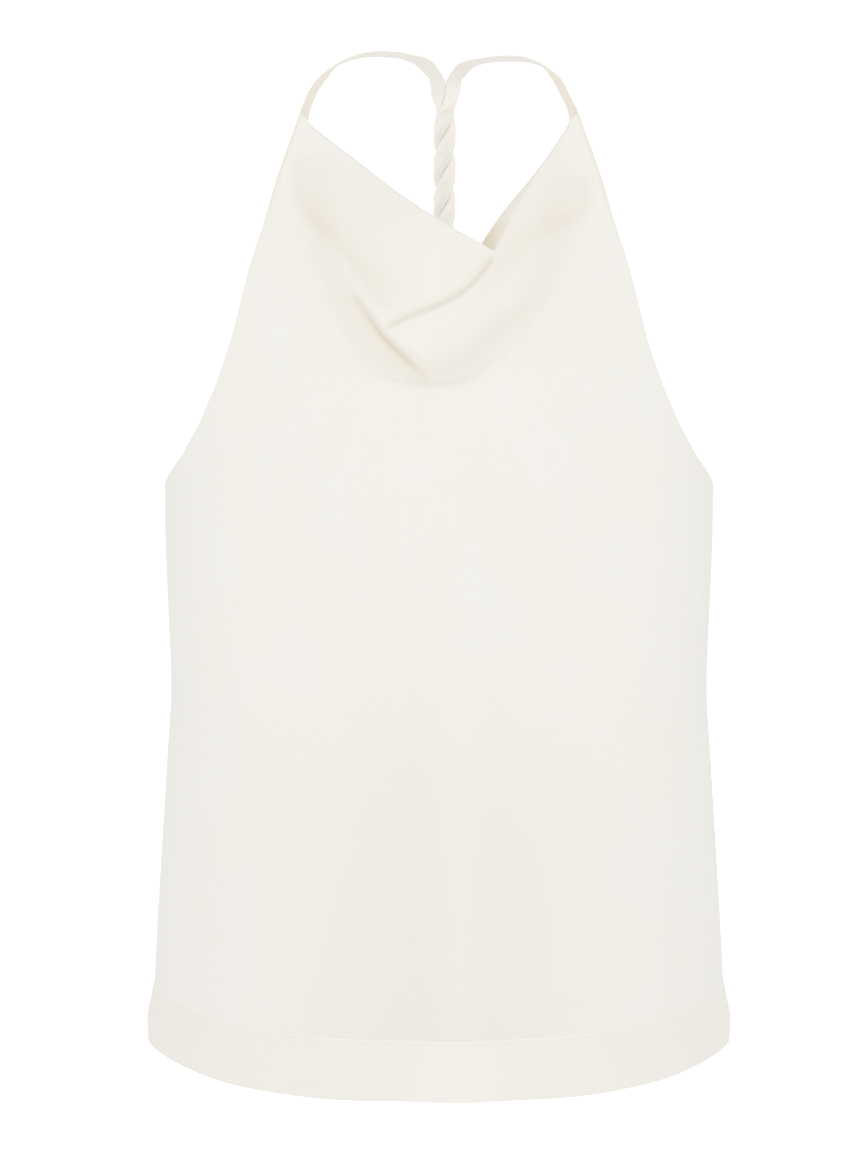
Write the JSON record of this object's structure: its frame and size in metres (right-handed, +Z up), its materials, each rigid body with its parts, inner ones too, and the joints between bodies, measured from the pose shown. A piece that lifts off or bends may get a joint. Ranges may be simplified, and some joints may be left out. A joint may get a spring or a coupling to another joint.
{
  "type": "cowl neck blouse",
  "caption": "Sleeveless satin top with a slanted cowl neckline, a wide hem band, and narrow straps that twist together down the open back.",
  "frame": {"origin": "between the two straps, level with their highest point and above the line of the side seams, where the wearer's neck and shoulders hold the blouse up", "axes": "+Z up along the body, the front faces -Y, +X to the right of a viewer who looks at the front"},
  "size_m": [0.375, 0.2461, 0.6417],
  "materials": {
    "ivory_satin": "smooth satin with a soft broad sheen"
  },
  "bodies": {
    "root": {"front_panel": "ivory_satin", "back_panel": "ivory_satin", "hem_band_front": "ivory_satin", "hem_band_back": "ivory_satin", "strap_left": "ivory_satin", "strap_right": "ivory_satin"}
  },
  "joints": []
}
